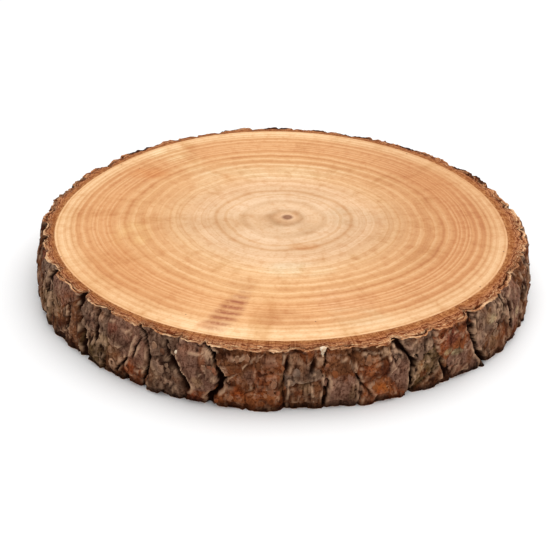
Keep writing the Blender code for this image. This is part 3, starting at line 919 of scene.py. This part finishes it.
wander = FURROW_WANDER * noise_at(spots, WANDER_FINENESS)
uneven = 1 + FURROW_UNEVEN * noise_at(spots, UNEVEN_FINENESS)
cut = np.zeros_like(relief)
shade = np.zeros_like(relief)
for depth, path in furrows:
    nearness = 1 - smooth(distance_to(path, wander) * uneven / (FURROW_LIP * on_path(path, 2) * MM))
    cut = np.maximum(cut, depth * MM * nearness)
    darkest = min(1.0, (depth / DARK_DEPTH) ** 1.5)
    shade = np.maximum(shade, smooth((nearness - SHADE_START) / SHADE_EASE) * darkest)
shade *= np.clip(0.9 + 0.9 * noise_at(spots, 190), 0.2, 1)
depth, path = RIM_DIP
dip_reach = FURROW_LIP * on_path(path, 2) * MM
cut = np.maximum(cut, depth * MM * (1 - smooth(distance_to(path, wander) / dip_reach)))
from_edge = np.minimum(height_grid, THICKNESS - height_grid)
cut *= 1 - EDGE_HOLD * (1 - smooth(from_edge / EDGE_HOLD_HEIGHT))

crest = np.zeros_like(relief)
for path in CRESTS:
    crest = np.maximum(crest, 1 - smooth(distance_to(path, wander) / CREST_HALF_WIDTH))
crest *= smooth(0.75 + 1.2 * noise_at(spots, 330))

at_top = height_grid > THICKNESS / 2
edge_points = girth_points(azimuth_grid, np.where(at_top, 3 * THICKNESS, 0))
broken = smooth(0.5 + 1.5 * noise_at(edge_points, CHIP_FINENESS))
chip = CHIP_DEPTH * broken * (1 - smooth((from_edge - CHIP_HEIGHT * broken) / MM))

scale_places = []
for column in range(round(math.tau * OUTER_RADIUS / SCALE_WIDTH)):
    for row in range(-1, round(THICKNESS / SCALE_HEIGHT) + 2):
        place = (column + rng.uniform(-SCALE_SHIFT[0], SCALE_SHIFT[0])) * SCALE_WIDTH / GIRTH_PER_DEGREE
        height = (row + column % 2 / 2 + rng.uniform(-SCALE_SHIFT[1], SCALE_SHIFT[1])) * SCALE_HEIGHT
        scale_places.append((place, height * SCALE_WIDTH / SCALE_HEIGHT))
scale_centres = girth_points(*np.array(scale_places).T)
upright = girth_points(azimuth_grid, height_grid * SCALE_WIDTH / SCALE_HEIGHT)
scale, next_scale, scale_lead = nearest_two(shifted(upright, SCALE_FINENESS, SCALE_RAGGED), scale_centres)
scale_lifts = np.array([rng.uniform(-1, 1) for _ in scale_places])
scale_tones = np.array([rng.uniform(-1, 1) for _ in scale_places])
fine = SCALE_STEP * scale_lifts[scale]
fine += GRAIN * rough_here * noise_at(stretched, GRAIN_FINENESS)
stands_over = np.clip(scale_lifts[scale] - scale_lifts[next_scale] - 0.4, 0, 1)
scale_edge = (1 - smooth(scale_lead / SCALE_EDGE)) * stands_over

ragged_edge = 0.4 * noise_at(spots, 300)


def patch_at(azimuth, height, half_width, half_height):
    """A soft ragged patch on the side: 1 in its middle, 0 outside."""
    sideways = turn(azimuth_grid, azimuth) * GIRTH_PER_DEGREE / (half_width * MM)
    upwards = (height_grid - height * MM) / (half_height * MM)
    return 1 - smooth((np.hypot(sideways, upwards) + ragged_edge - PATCH_FULL) / PATCH_FADE)


behind = smooth((np.abs(turn(azimuth_grid, -90)) - BEHIND_FROM) / BEHIND_EASE)
crumble = behind * smooth(0.25 + 1.7 * noise_at(spots, 60))
for azimuth, height, half_width, half_height, strength in CRUMBLES:
    crumble = np.maximum(crumble, strength * patch_at(azimuth, height, half_width, half_height))
crumb_places = []
for column in range(round(math.tau * OUTER_RADIUS / CRUMB_SIZE)):
    for row in range(-1, round(THICKNESS * CRUMB_STRETCH / CRUMB_SIZE) + 2):
        place = (column + rng.uniform(-CRUMB_SHIFT, CRUMB_SHIFT)) * CRUMB_SIZE / GIRTH_PER_DEGREE
        crumb_places.append((place, (row + rng.uniform(-CRUMB_SHIFT, CRUMB_SHIFT)) * CRUMB_SIZE))
crumb_centres = girth_points(*np.array(crumb_places).T)
crumb_spots = girth_points(azimuth_grid, height_grid * CRUMB_STRETCH)
crumb_spots = shifted(crumb_spots, CRUMB_FINENESS, CRUMB_RAGGED)
crumb, _, crumb_lead = nearest_two(crumb_spots, crumb_centres)
crumb_lifts = np.array([rng.uniform(-1, 1) for _ in crumb_places])
gap = (1 - smooth(crumb_lead / CRUMB_GAP_HALF_WIDTH)) * crumble
fine += CRUMB_STEP * crumb_lifts[crumb] * crumble - CRUMB_GAP * gap

inner_radius = cambium_radius(azimuth_grid)
side_radius = envelope + relief - cut - chip + fine + CREST_RISE * crest
side_radius = np.maximum(side_radius, inner_radius + INNER_BARK)

# The sawn bark is a little lower than the wood. Outside its smooth inner part its layers come apart:
# a ragged groove runs round behind the torn, paler rim.
TOP_SHARES = (0.97, 0.935, 0.9, 0.865, 0.83, 0.79, 0.75, 0.71, 0.66, 0.6, 0.52, 0.42, 0.28, 0.12)
UNDER_SHARES = (0.33, 0.66)
TOP_SPREAD = 2.2
SHRINK = 0.1 * MM
TEAR = 0.55 * MM
GROOVE = 1.1 * MM
GROOVE_HALF_WIDTH = 0.07
SECOND_GROOVE = 0.6
SECOND_HALF_WIDTH = 0.05
TEAR_STEPS = 2.4
RIM_TEAR = 0.6 * MM
RIM_DEPTH = 3 * MM

top_shares = np.array((1.0, *TOP_SHARES, 0.0))
rim_spots = girth_points(azimuths, np.full_like(azimuths, THICKNESS))
inward = 1 - (1 - top_shares) * TOP_SPREAD * BARK_MEAN / OUTER_RADIUS
top_spots = rim_spots[:, None, :] * inward[None, :, None]
top_spots[..., 2] = THICKNESS
torn = smooth((top_shares - 0.5) / 0.2)
torn_steps = np.round(TEAR_STEPS * noise_at(top_spots, 260)) / TEAR_STEPS
groove_share = 0.78 + 0.14 * noise_at(rim_spots, 45)
groove_here = smooth(0.55 + 1.6 * noise_at(rim_spots, 75))
groove = groove_here[:, None] * np.exp(-((top_shares - groove_share[:, None]) / GROOVE_HALF_WIDTH) ** 2)
second_share = 0.62 + 0.1 * noise_at(rim_spots * 1.7, 45)
second_here = smooth(0.2 + 1.6 * noise_at(rim_spots * 1.3, 75))
second_groove = np.exp(-((top_shares - second_share[:, None]) / SECOND_HALF_WIDTH) ** 2)
groove += SECOND_GROOVE * second_here[:, None] * second_groove
rim_lift = smooth((top_shares - 0.8) / 0.2) * (0.6 + noise_at(top_spots, 520))
tears = SHRINK * smooth(top_shares / 0.1) + TEAR * torn * (0.35 + 0.5 * torn_steps)
tears = np.maximum(tears + GROOVE * groove + RIM_TEAR * rim_lift, 0)

bark_rows = 1 + len(UNDER_SHARES) + len(side_rows) + len(TOP_SHARES) + 1
first_side = 1 + len(UNDER_SHARES)
first_top = first_side + len(side_rows)
side = slice(first_side, first_top)
inner = cambium_radius(azimuths)
rim_width = side_radius[:, -1] - inner
foot_width = side_radius[:, 0] - inner
grid_size = (BARK_STEPS, bark_rows)
radius_at = np.empty(grid_size)
height_at = np.zeros(grid_size)
spread_at = np.empty((*grid_size, 3))
radius_at[:, 0] = inner
spread_at[:, 0] = top_spots[:, -1]
for row, share in enumerate(UNDER_SHARES, start=1):
    radius_at[:, row] = inner + share * foot_width
    spread_at[:, row] = top_spots[:, -1 - 4 * row]
radius_at[:, side] = side_radius
rim_fall = smooth((height_grid - (THICKNESS - RIM_DEPTH)) / RIM_DEPTH) * tears[:, :1]
height_at[:, side] = height_grid - rim_fall
spread_at[:, side] = spots
radius_at[:, first_top:] = inner[:, None] + top_shares[1:] * rim_width[:, None]
height_at[:, first_top:] = THICKNESS - tears[:, 1:]
spread_at[:, first_top:] = top_spots[:, 1:]


def blurred(values, columns, rows):
    """The values, averaged over their neighbours round the girth and up the side."""
    around = sum(np.roll(values, step, axis=0) for step in range(-columns, columns + 1))
    padded = np.pad(around / (2 * columns + 1), ((0, 0), (rows, rows)), mode="edge")
    width = values.shape[1]
    stacked = sum(padded[:, step:step + width] for step in range(2 * rows + 1))
    return stacked / (2 * rows + 1)


# What the material reads: painted shade in hollows, furrows and gaps; crests, broken scale edges,
# proud bumps and raised crumbs paler, partly their own pale tissue and partly painted highlight
proud = side_radius - envelope
dip = blurred(blurred(proud, 4, 4), 3, 3) - proud
small_dip = blurred(proud, 2, 2) - proud
crumbs = smooth(0.3 + 1.6 * noise_at(spots, 210))
pale = np.maximum(crest, 0.7 * scale_edge * crumbs)
pale = np.maximum(pale, np.clip(small_dip / (-0.35 * MM), 0, 1) * crumbs * 0.7)
pale = np.maximum(pale, crumble * smooth((crumb_lifts[crumb] - 0.2) / 0.5) * (1 - gap) * 0.8)
hollow = np.clip(dip / (2.6 * MM), 0, 1) + shade + 0.7 * gap
hollow += 0.6 * crumble * smooth(-crumb_lifts[crumb] - 0.1)

tone = np.array(plate_tones)[plate]
for azimuth, height, half_width, half_height, word, strength in PATCHES:
    patch = strength * patch_at(azimuth, height, half_width, half_height)
    tone = tone + (np.array(TONES[word]) - tone) * patch[..., None]
tone = tone * (1.26 + 0.14 * scale_tones[scale])[..., None]

looks = {name: np.zeros(grid_size) for name in ("hollow", "pale", "cut_face", "outward")}
looks["hollow"][:, side] = np.clip(hollow, 0, 1)
looks["hollow"][:, first_top:] = np.clip(groove[:, 1:], 0, 1)
looks["pale"][:, side] = np.clip(pale, 0, 1)
# The pale burr along the rim, towards the front: partly torn fibres, partly painted highlight
burr_and_highlight = 1 - smooth((np.sin(np.radians(azimuths)) - 0.05) / 0.4)
burr_and_highlight *= smooth(0.55 + 1.5 * noise_at(rim_spots, 150))
ungrooved = 1 - np.clip(groove, 0, 1)
looks["pale"][:, first_top - 1:] = smooth((top_shares - 0.8) / 0.12) * ungrooved * burr_and_highlight[:, None]
looks["cut_face"][:] = 1
looks["cut_face"][:, first_side + 1:first_top - 1] = 0
looks["outward"][:, 1:first_side] = UNDER_SHARES
looks["outward"][:, side] = 1
looks["outward"][:, first_top:] = top_shares[1:]
tone_at = np.full((*grid_size, 3), 0.1)
tone_at[:, side] = tone


def bark_material():
    material, shader, start = new_material("bark", Specular_IOR_Level=0.05)
    spread = start.attribute("spread", 1)
    hollow = start.attribute("hollow")
    pale = start.attribute("pale")

    # The side: each plate's own tone, clouded and streaked upright, with paler edges that are partly
    # painted highlight, painted shade towards the foot, and painted shade, nearly black, down the
    # furrows and in the hollows
    side = start.attribute("tone", 0)
    clouds = start.noise(85, 4, spread)
    side = side.tint(linear(166, 150, 142), clouds.rise(0.5, 0.7))
    side = (1 - clouds).rise(0.5, 0.7).mix(side, side.tint(linear(255, 220, 190)))
    blotches = start.noise(260, 3, spread, 0.6)
    side = side.tint(linear(142, 117, 104), blotches.rise(0.5, 0.66) * 0.5)
    side = ((1 - blotches).rise(0.56, 0.68) * 0.32).mix(side, linear(206, 162, 134))
    upright = start.add("ShaderNodeMapping", {}, {"Vector": spread, "Scale": (1, 1, 0.22)})
    streaks = start.noise(480, 3, upright, 0.6)
    side = side.tint(linear(156, 134, 122), streaks.rise(0.46, 0.68) * 0.85)
    grain = start.noise(900, 3, spread, 0.65)
    side = side.tint(linear(160, 137, 124), grain.rise(0.48, 0.62) * 0.8)
    # Paler broken edges, crests and proud bumps: partly their own pale tissue, partly painted highlight
    side = (pale * 0.9).mix(side, linear(214, 172, 138))
    # Painted shade: darker towards the foot, where the slice stands on the table
    foot_shade = 1 - start.along("Z").rise(0.0, 0.011)
    side = side.tint(linear(206, 200, 196), foot_shade)
    side = side.tint(linear(150, 140, 134), 1 - start.along("Z").rise(0.0005, 0.004))
    # Painted shade, nearly black, in the furrows, hollows and gaps
    side = hollow.rise(0.15, 0.95).mix(side, linear(38, 20, 12))

    # The cut face: orange inner bark with fibres running out through it, then torn darker layers with
    # cream ones between, and a pale burr along the rim towards the front, partly its torn fibres and
    # partly painted highlight
    outward = start.attribute("outward") + (start.noise(130, 2, spread) - 0.5) * 0.16
    flat = start.add("ShaderNodeVectorMath", {"operation": "MULTIPLY"}, {0: spread, 1: (1, 1, 0)})
    outwards = start.add("ShaderNodeVectorMath", {"operation": "NORMALIZE"}, {0: flat})
    fibres = start.noise(210, 3, outwards, 0.6)
    inner_tone = start.noise(420, 3, spread).rise(0.36, 0.64).mix(linear(172, 108, 64), linear(212, 150, 98))
    inner_tone = outward.rise(0.0, 0.3).mix(inner_tone, inner_tone.tint(linear(236, 222, 212)))
    layers = start.line_noise(outward + start.noise(75, 2, spread) * 0.4, 8.0, 2.0)
    torn_tone = layers.ramp(TORN_COLOURS)
    torn_tone = start.noise(330, 2, spread).rise(0.52, 0.62).mix(torn_tone, linear(132, 72, 44))
    cut_colour = outward.rise(0.26, 0.46).mix(inner_tone, torn_tone)
    cut_colour = cut_colour.tint(linear(200, 166, 142), fibres.rise(0.48, 0.66) * 0.8)
    # Dark patches in the torn outer layers, stronger towards the back
    behind = start.along("Y").rise(-0.02, 0.06)
    dark_outer_patches = start.noise(62, 3, spread).rise(0.47, 0.58) * outward.rise(0.5, 0.7) * (behind * 0.7 + 0.3)
    cut_colour = dark_outer_patches.mix(cut_colour, linear(70, 38, 24))
    bright = pale * start.noise(170, 2, spread).rise(0.36, 0.5)
    cut_colour = bright.mix(cut_colour, linear(250, 204, 158))
    cut_colour = cut_colour.tint(linear(196, 164, 140), grain.rise(0.44, 0.7) * 0.8)
    # Painted shade in the grooves between the torn layers
    cut_colour = hollow.rise(0.3, 0.9).mix(cut_colour, linear(74, 36, 20))
    colour = start.attribute("cut_face").rise(0.3, 0.7).mix(side, cut_colour)

    surface = grain * 0.6 + streaks * 0.8 + start.noise(420, 2, spread) * 0.5
    start.feed(shader.inputs["Base Color"], colour)
    start.feed(shader.inputs["Roughness"], 0.66 + grain * 0.25)
    start.feed(shader.inputs["Normal"], start.bump(surface, 0.0011, 1.0))
    return material


# The torn layers' colours, from the darkest of the noise that picks them to the palest
TORN_COLOURS = (
    (0.36, linear(112, 58, 34)),
    (0.43, linear(206, 134, 88)),
    (0.49, linear(236, 174, 124)),
    (0.53, linear(128, 68, 42)),
    (0.58, linear(216, 146, 98)),
    (0.66, linear(248, 204, 156)),
)


def bark_layers(shape):
    """Layers for what the bark's material reads: its looks by name, its unrolled place and its tone."""
    numbers = {name: shape.verts.layers.float.new(name) for name in looks}
    spread = shape.verts.layers.float_vector.new("spread")
    return numbers, spread, shape.verts.layers.float_vector.new("tone")


bark, places = rolled_sheet(BARK_STEPS, bark_rows)
look_layers, spread_layer, tone_layer = bark_layers(bark)
for vert, (column, row) in zip(bark.verts, places):
    place = (column, row % bark_rows)
    angle = math.radians(azimuths[column])
    vert.co = (
        WOOD_CENTRE.x + radius_at[place] * math.cos(angle),
        WOOD_CENTRE.y + radius_at[place] * math.sin(angle),
        height_at[place],
    )
    vert[spread_layer] = spread_at[place]
    vert[tone_layer] = tone_at[place]
    for name, layer in look_layers.items():
        vert[layer] = looks[name][place]
close_up(bark)
bark_finish = bark_material()
bark_ring = finished_piece("bark", bark, bark_finish)
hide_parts("wood_slice")


# Loose scales: thin flakes of outer bark with lifted edges, still held by one side. Each is a flat
# ragged polygon, a little thick, pressed onto the surface where it grew.
FLAKES = 260
FLAKE_SIDES = 9
FLAKE_SIZE = (0.9 * MM, 2.4 * MM)
FLAKE_THICKNESS = (0.25 * MM, 0.5 * MM)
FLAKE_TILT = 0.22
FLAKE_NARROWING = 0.86
FLAKE_RAGGED = (0.65, 1.15)
FLAKE_STRETCH = (1.0, 1.7)
FLAKE_HEIGHTS = (0.08, 0.92)
FLAKE_TONES = (0.75, 1.35)
FLAKE_SINK = 0.15 * MM


def column_at(azimuth):
    """The bark grid's column nearest to an azimuth."""
    return round(azimuth % 360 / 360 * BARK_STEPS) % BARK_STEPS


def surface_frame(azimuth, height, sink):
    """Stand on the bark at a spot: the first axis lies round it, the second up it, the third out."""
    column = column_at(azimuth)
    row = min(range(len(side_rows)), key=lambda index: abs(side_rows[index] - height))
    radius = side_radius[column, row] - sink
    spin = Matrix.Rotation(math.radians(azimuth), 4, "Z")
    stand = Matrix(((0, 0, 1, radius), (1, 0, 0, 0), (0, 1, 0, height), (0, 0, 0, 1)))
    return Matrix.Translation(WOOD_CENTRE) @ spin @ stand, (column, row)


flakes = bmesh.new()
flake_looks, flake_spread, flake_tone = bark_layers(flakes)
for _ in range(FLAKES):
    azimuth = rng.uniform(0, 360)
    height = rng.uniform(*FLAKE_HEIGHTS) * THICKNESS
    size = rng.uniform(*FLAKE_SIZE)
    made = bmesh.ops.create_circle(flakes, cap_ends=True, radius=size, segments=FLAKE_SIDES)
    rim = made["verts"]
    for vert in rim:
        vert.co *= rng.uniform(*FLAKE_RAGGED)
    face = rim[0].link_faces[0]
    raised = bmesh.ops.extrude_face_region(flakes, geom=[face])
    top = [item for item in raised["geom"] if isinstance(item, bmesh.types.BMVert)]
    bmesh.ops.translate(flakes, verts=top, vec=(0, 0, rng.uniform(*FLAKE_THICKNESS)))
    bmesh.ops.scale(flakes, verts=top, vec=(FLAKE_NARROWING, FLAKE_NARROWING, 1.0))
    stand, place = surface_frame(azimuth, height, FLAKE_SINK)
    tilt = Matrix.Rotation(rng.uniform(-FLAKE_TILT, FLAKE_TILT), 4, "X")
    tilt = tilt @ Matrix.Rotation(rng.uniform(-FLAKE_TILT, FLAKE_TILT), 4, "Y")
    longer = Matrix.Diagonal((0.8, rng.uniform(*FLAKE_STRETCH), 1.0, 1.0))
    bmesh.ops.transform(flakes, matrix=stand @ tilt @ longer, verts=rim + top)
    own_tone = Vector(tone[place]) * rng.uniform(*FLAKE_TONES)
    edge_shine = rng.choice((0.0, 0.0, 0.3, 0.6))
    for vert in rim + top:
        vert[flake_spread] = Vector(spots[place]) + vert.co * 0.3
        vert[flake_tone] = own_tone
        vert[flake_looks["pale"]] = edge_shine if vert in rim else edge_shine * 0.4
bmesh.ops.recalc_face_normals(flakes, faces=flakes.faces)
bark_flakes = finished_piece("bark_flakes", flakes, bark_finish)
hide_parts("wood_slice")


# Torn fibres: stiff orange and cream slivers of inner bark that the saw lifted along the front of the
# top rim, and a small light fork of them stuck to the side.
FIBRES = 190
FIBRE_LENGTH = (1.0 * MM, 4.0 * MM)
FIBRE_WIDTH = (0.18 * MM, 0.5 * MM)
FIBRE_SPREAD = 105
FIBRE_SHARES = (0.62, 0.98)
FIBRE_TURN = 0.25
FIBRE_TILT = 0.1
FIBRE_SINK = 0.1 * MM
FIBRE_BEND = 0.3 * MM

# The fork's slivers: azimuth, height and length in mm, and slope in degrees
FORK = ((-67.6, 8.4, 1.9, 70), (-67.9, 9.2, 1.5, 20), (-67.2, 9.4, 1.3, 140))
FORK_WIDTH = 0.22 * MM
FORK_BEND = 0.1 * MM
FORK_STANDS_OFF = 0.15 * MM


def add_sliver(slivers, stand, length, width, bend):
    """A thin three-sided sliver along the first axis, pointed at both ends and bent upwards."""
    made = bmesh.ops.create_cone(
        slivers, cap_ends=True, segments=3, radius1=width, radius2=width * 0.25, depth=length
    )
    verts = made["verts"]
    lay_down = Matrix.Rotation(math.pi / 2, 3, "Y")
    bmesh.ops.rotate(slivers, verts=verts, cent=(0, 0, 0), matrix=lay_down)
    cut_through = bmesh.ops.bisect_plane(
        slivers,
        geom=verts + list({edge for vert in verts for edge in vert.link_edges})
        + list({face for vert in verts for face in vert.link_faces}),
        plane_co=(0, 0, 0),
        plane_no=(1, 0, 0),
    )
    middle = [item for item in cut_through["geom_cut"] if isinstance(item, bmesh.types.BMVert)]
    bmesh.ops.translate(slivers, verts=middle, vec=(0, 0, bend))
    bmesh.ops.transform(slivers, matrix=stand, verts=verts + middle)


def fibre_material():
    material, shader, start = new_material("torn_fibre")
    colour = start.noise(180, 2).rise(0.35, 0.65).mix(linear(168, 100, 58), linear(236, 190, 142))
    colour = colour.tint(linear(200, 170, 140), start.noise(1500, 2).rise(0.4, 0.7))
    start.feed(shader.inputs["Base Color"], colour)
    start.feed(shader.inputs["Roughness"], 0.6 + start.noise(900, 2) * 0.25)
    start.feed(shader.inputs["Normal"], start.bump(start.noise(1200, 2), 0.0003, 0.5))
    return material


slivers = bmesh.new()
for _ in range(FIBRES):
    azimuth = -90 + rng.triangular(-FIBRE_SPREAD, FIBRE_SPREAD, 0)
    column = column_at(azimuth)
    share = rng.uniform(*FIBRE_SHARES)
    radius = inner[column] + share * rim_width[column]
    row = int(np.argmin(np.abs(top_shares - share)))
    height = THICKNESS - tears[column, row] - FIBRE_SINK
    lie = Matrix.Rotation(math.radians(azimuth), 4, "Z") @ Matrix.Translation((radius, 0, height))
    lie = lie @ Matrix.Rotation(math.pi / 2 + rng.gauss(0, FIBRE_TURN), 4, "Z")
    lie = lie @ Matrix.Rotation(rng.uniform(-FIBRE_TILT, FIBRE_TILT), 4, "Y")
    length = rng.uniform(*FIBRE_LENGTH)
    width = rng.uniform(*FIBRE_WIDTH)
    add_sliver(slivers, Matrix.Translation(WOOD_CENTRE) @ lie, length, width, rng.uniform(0.0, FIBRE_BEND))
for azimuth, height, length, slope in FORK:
    stand, _ = surface_frame(azimuth, height * MM, -FORK_STANDS_OFF)
    lie = stand @ Matrix.Rotation(math.radians(slope), 4, "Z")
    add_sliver(slivers, lie, length * MM, FORK_WIDTH, FORK_BEND)
for vert in slivers.verts:
    vert.co.z = min(vert.co.z, THICKNESS)
bmesh.ops.recalc_face_normals(slivers, faces=slivers.faces)
torn_fibres = finished_piece("torn_fibres", slivers, fibre_material())
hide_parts("wood_slice")


# Resin: a white bead on one plate and a cream drop that ran down from the rim, both dried hard. The
# drop is a row of blobs that shrink downwards. Each blob: azimuth, then height and radius in mm.
BEAD = (-111.3, 23.2, 0.95)
DROP = ((-81.2, 29.6, 1.5), (-81.1, 28.4, 1.25), (-81.3, 27.0, 0.9), (-81.25, 25.8, 0.6))
RESIN_SINK = 0.1 * MM
RESIN_UNEVEN = 0.16


def resin_material():
    material, shader, start = new_material("dried_resin", IOR=1.5)
    colour = start.noise(700, 3).rise(0.35, 0.7).mix(linear(236, 216, 188), linear(206, 164, 122))
    start.feed(shader.inputs["Base Color"], colour)
    start.feed(shader.inputs["Roughness"], 0.38 + start.noise(900, 2) * 0.2)
    start.feed(shader.inputs["Normal"], start.bump(start.noise(900, 2), 0.0004, 0.4))
    return material


resin = bmesh.new()
for azimuth, height, radius in (BEAD, *DROP):
    stand, _ = surface_frame(azimuth, height * MM, RESIN_SINK)
    size = Matrix.Diagonal((radius * MM, radius * MM * 1.1, radius * MM * 0.7, 1.0))
    blob = bmesh.ops.create_icosphere(resin, subdivisions=2, radius=1.0)
    for vert in blob["verts"]:
        vert.co *= 1 + RESIN_UNEVEN * noise.noise(vert.co * 1.6 + Vector((azimuth, height, 0)))
    bmesh.ops.transform(resin, matrix=stand @ size, verts=blob["verts"])
for vert in resin.verts:
    vert.co.z = min(vert.co.z, THICKNESS)
bmesh.ops.recalc_face_normals(resin, faces=resin.faces)
dried_resin = finished_piece("dried_resin", resin, resin_material())
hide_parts("wood_slice")


# The knob: a little ring of bark, open in its middle, that grew low on the left round a lost twig. It
# is bark like the rest, with a paler crown.
KNOB_AZIMUTH = -127.1
KNOB_HEIGHT = 6.9 * MM
KNOB_RADIUS = 1.5 * MM
KNOB_THICKNESS = 0.62 * MM
KNOB_STEPS = 16
KNOB_SINK = 0.1 * MM
KNOB_UNEVEN = 0.25
KNOB_FINENESS = 900

knob = bmesh.new()
knob_looks, knob_spread, knob_tone = bark_layers(knob)
ring_circle = bmesh.ops.create_circle(knob, segments=8, radius=KNOB_THICKNESS)
upright = Matrix.Translation((KNOB_RADIUS, 0, 0)) @ Matrix.Rotation(math.pi / 2, 4, "X")
bmesh.ops.transform(knob, matrix=upright, verts=ring_circle["verts"])
circle_edges = list({edge for vert in ring_circle["verts"] for edge in vert.link_edges})
bmesh.ops.spin(
    knob,
    geom=ring_circle["verts"] + circle_edges,
    axis=(0, 0, 1),
    cent=(0, 0, 0),
    angle=math.tau,
    steps=KNOB_STEPS,
    use_merge=True,
)
bmesh.ops.remove_doubles(knob, verts=knob.verts, dist=SAME_SPOT)
stand, place = surface_frame(KNOB_AZIMUTH, KNOB_HEIGHT, KNOB_SINK)
for vert in knob.verts:
    vert.co *= 1 + KNOB_UNEVEN * noise.noise(vert.co * KNOB_FINENESS)
    vert[knob_spread] = Vector(spots[place]) + vert.co
    vert[knob_tone] = TONES["russet"]
    vert[knob_looks["pale"]] = 0.75 * max(0.0, vert.co.z / KNOB_THICKNESS)
bmesh.ops.transform(knob, matrix=stand @ Matrix.Diagonal((1.0, 1.15, 1.0, 1.0)), verts=knob.verts)
bmesh.ops.recalc_face_normals(knob, faces=knob.faces)
bark_knob = finished_piece("bark_knob", knob, bark_finish)
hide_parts("wood_slice")


# The table top: plain and nearly white, in a white room. A broad soft lamp hangs above the slice, a
# little behind it and to the right.
FLOOR_REACH = 4.0
ROOM_LIGHT = 0.62
LAMP_WIDTH = 1.5
LAMP_WATTS = 13
LAMP_PLACE = Vector((0.2, 0.12, 1.25))

floor = bmesh.new()
bmesh.ops.create_grid(floor, x_segments=1, y_segments=1, size=FLOOR_REACH)
floor_mesh = bpy.data.meshes.new("floor")
floor.to_mesh(floor_mesh)
floor.free()
floor_finish, floor_shader, floor_start = new_material("floor", Roughness=0.9)
floor_tone = floor_start.noise(3, 1).mix(linear(246, 246, 246), linear(248, 248, 248))
floor_start.feed(floor_shader.inputs["Base Color"], floor_tone)
floor_mesh.materials.append(floor_finish)
floor_object = bpy.data.objects.new("floor", floor_mesh)
bpy.context.scene.collection.objects.link(floor_object)

room = bpy.data.worlds.new("room")
room.use_nodes = True
walls = room.node_tree.nodes["Background"]
walls.inputs["Color"].default_value = (1.0, 1.0, 1.0, 1.0)
walls.inputs["Strength"].default_value = ROOM_LIGHT
bpy.context.scene.world = room

lamp_data = bpy.data.lights.new("soft_lamp", "AREA")
lamp_data.shape = "DISK"
lamp_data.size = LAMP_WIDTH
lamp_data.energy = LAMP_WATTS
lamp = bpy.data.objects.new("soft_lamp", lamp_data)
lamp_aim = LAMP_PLACE.to_track_quat("Z", "Y").to_matrix().to_4x4()
lamp.matrix_world = Matrix.Translation(LAMP_PLACE) @ lamp_aim
bpy.context.scene.collection.objects.link(lamp)
